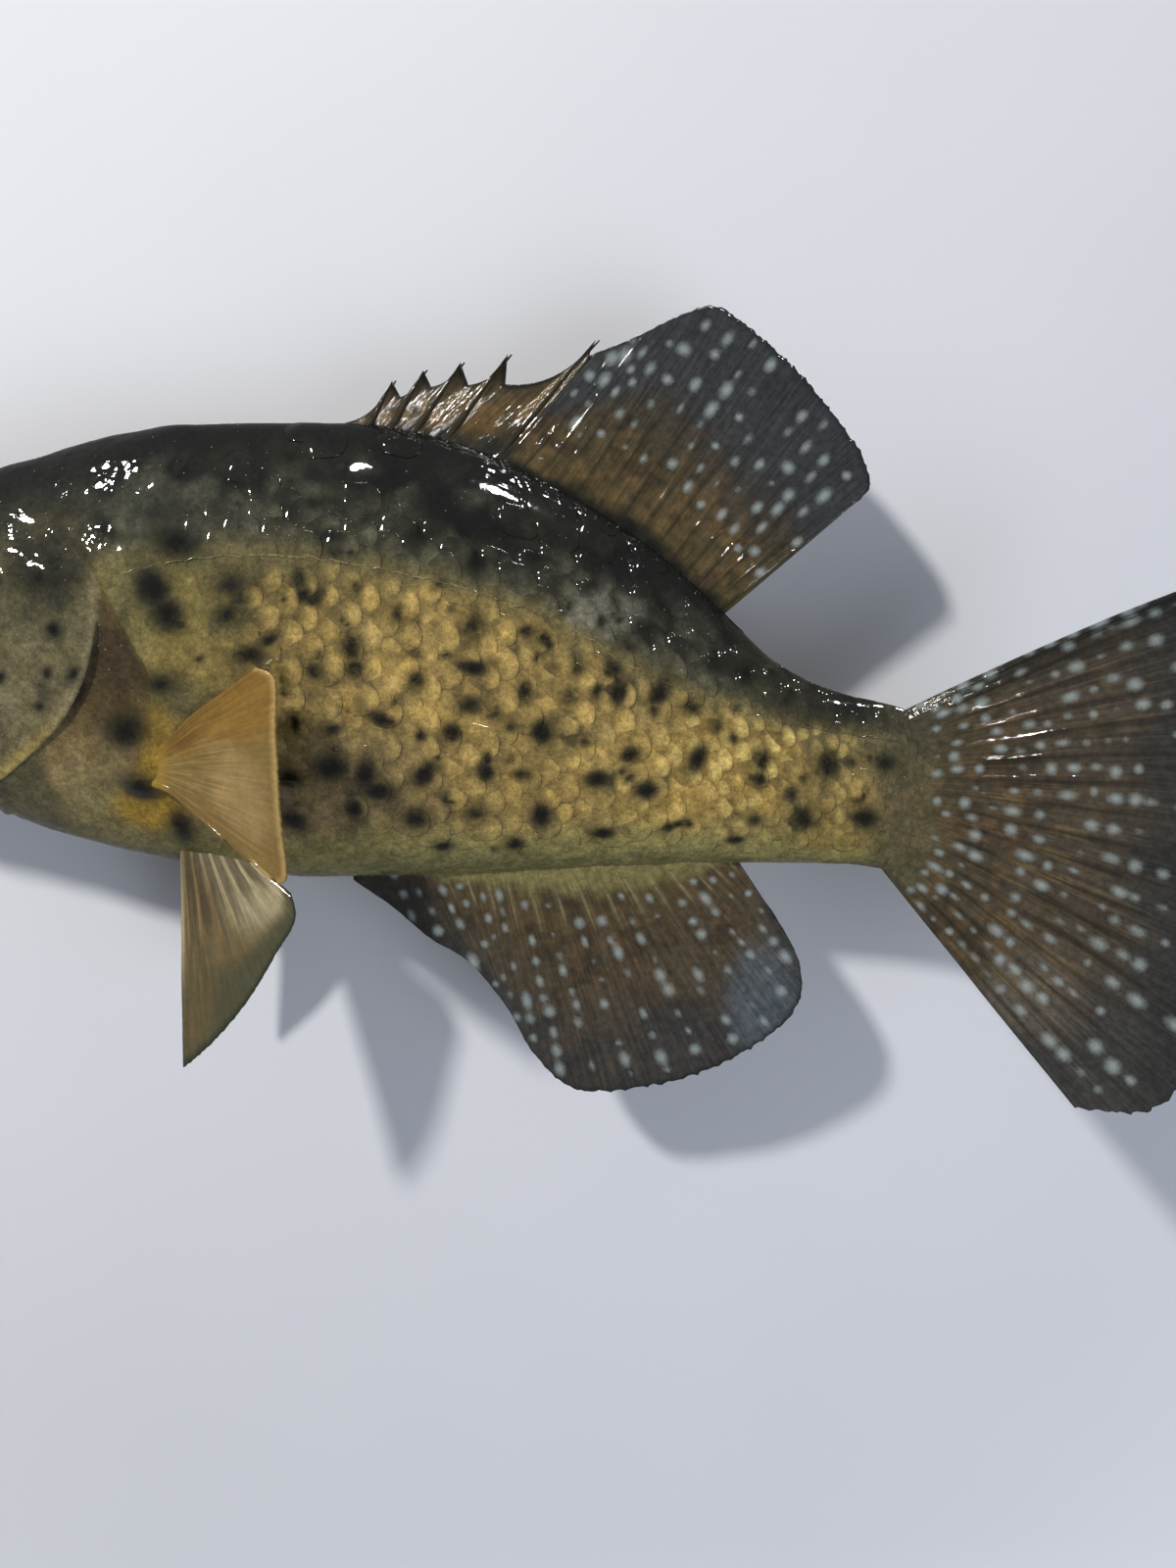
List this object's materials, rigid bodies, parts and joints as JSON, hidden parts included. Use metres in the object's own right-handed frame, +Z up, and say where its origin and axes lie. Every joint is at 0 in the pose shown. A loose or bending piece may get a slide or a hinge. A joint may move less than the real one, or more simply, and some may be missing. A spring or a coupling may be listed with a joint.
{
  "type": "mounted crappie",
  "caption": "Life-size crappie skin mount, left flank out and tail swept off the wall, on a wooden block with a keyhole hanger.",
  "frame": {"origin": "on the wall, at the flat back of the wooden block behind the trunk", "axes": "+Z up, +Y out of the fish's back and into the wall, +X towards the tail; the left flank faces -Y and the head points to -X"},
  "size_m": [0.3733, 0.0845, 0.2015],
  "materials": {
    "lacquered_skin": "painted fish skin under thick gloss lacquer, olive-black back, golden flank, black speckles",
    "gill_cover": "grey-olive painted bone plate under gloss lacquer",
    "dark_fin": "charcoal-brown fin with pale blue-white spots under gloss lacquer",
    "golden_fin": "golden-tan fin with pale rays under gloss lacquer",
    "glass_eye": "solid glass taxidermy eye, black pupil, brassy iris",
    "block_wood": "plain sawn pine, light sanding",
    "hanger_steel": "zinc-plated pressed steel"
  },
  "bodies": {
    "root": {"head": "lacquered_skin", "upper_jaw": "lacquered_skin", "lower_jaw": "lacquered_skin", "gill_cover_left": "gill_cover", "gill_cover_right": "gill_cover", "eye_left": "glass_eye", "eye_right": "glass_eye", "trunk": "lacquered_skin", "tail_stalk": "lacquered_skin", "dorsal_fin_spiny": "dark_fin", "dorsal_fin_soft": "dark_fin", "anal_fin": "dark_fin", "tail_fin": "dark_fin", "pectoral_fin_left": "golden_fin", "pectoral_fin_right": "golden_fin", "pelvic_fin_left": "golden_fin", "pelvic_fin_right": "golden_fin", "back_block": "block_wood", "hanger_plate": "hanger_steel"}
  },
  "joints": []
}
